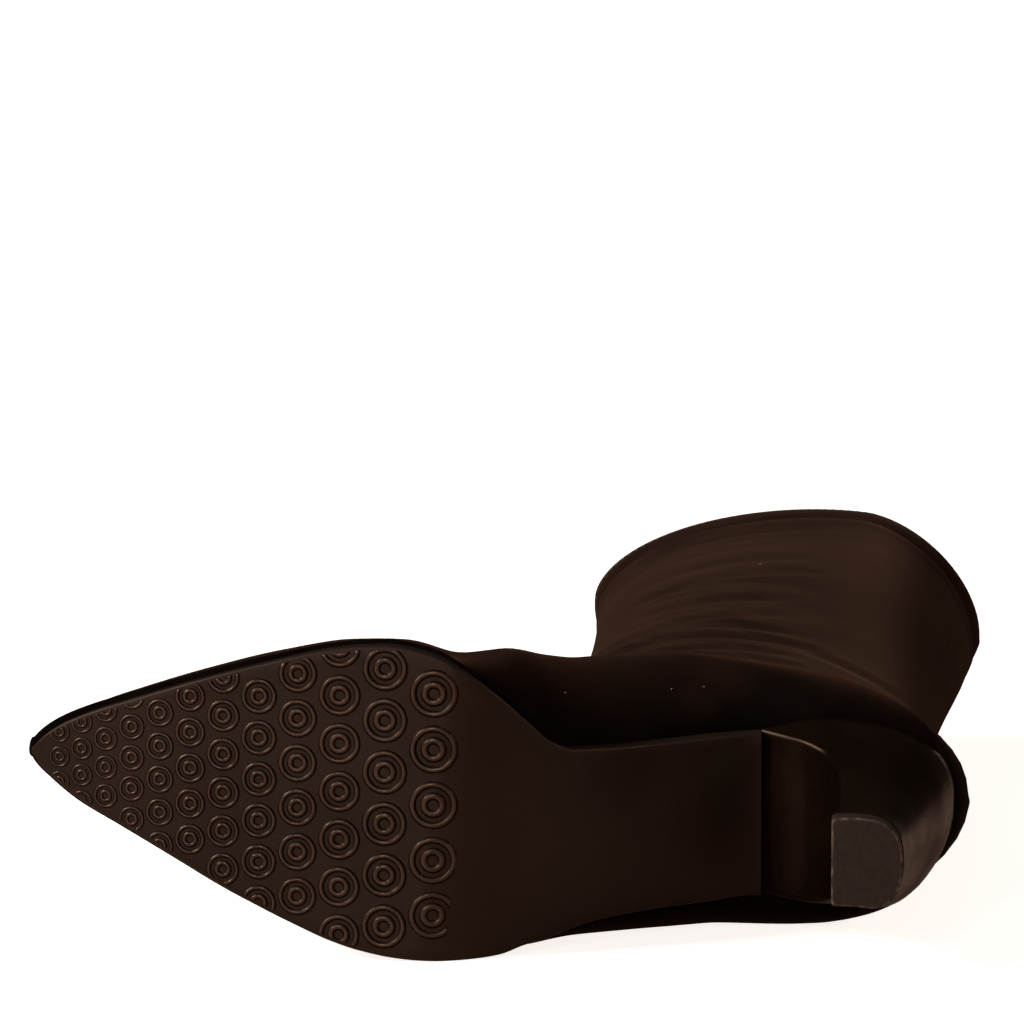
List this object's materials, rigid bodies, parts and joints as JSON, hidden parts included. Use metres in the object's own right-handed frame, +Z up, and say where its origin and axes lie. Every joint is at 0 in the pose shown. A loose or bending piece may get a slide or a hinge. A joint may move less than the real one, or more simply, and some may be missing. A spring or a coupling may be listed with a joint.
{
  "type": "stretch boot",
  "caption": "Pull-on knee boot with pointed toe, curved block heel, flat patterned tread and a soft stretch leg, lying on its outer side.",
  "frame": {"origin": "on the floor under the middle of the boot's bounding box, as the boot lies on its outer side", "axes": "+Z up out of the inner side of the boot, +Y from the heel to the collar, -X towards the toe"},
  "size_m": [0.2628, 0.4614, 0.091],
  "materials": {
    "sole_rubber": "satin moulded sole",
    "heel_lacquer": "glossy black-brown",
    "top_piece_rubber": "matte, scuffed at the edges",
    "insole_board": "matte lining leather",
    "foot_suede": "short matte nap",
    "leg_suede": "matte stretch suede"
  },
  "bodies": {
    "root": {"outsole": "sole_rubber", "heel": "heel_lacquer", "top_piece": "top_piece_rubber", "insole": "insole_board", "upper": "foot_suede", "leg": "leg_suede"}
  },
  "joints": []
}
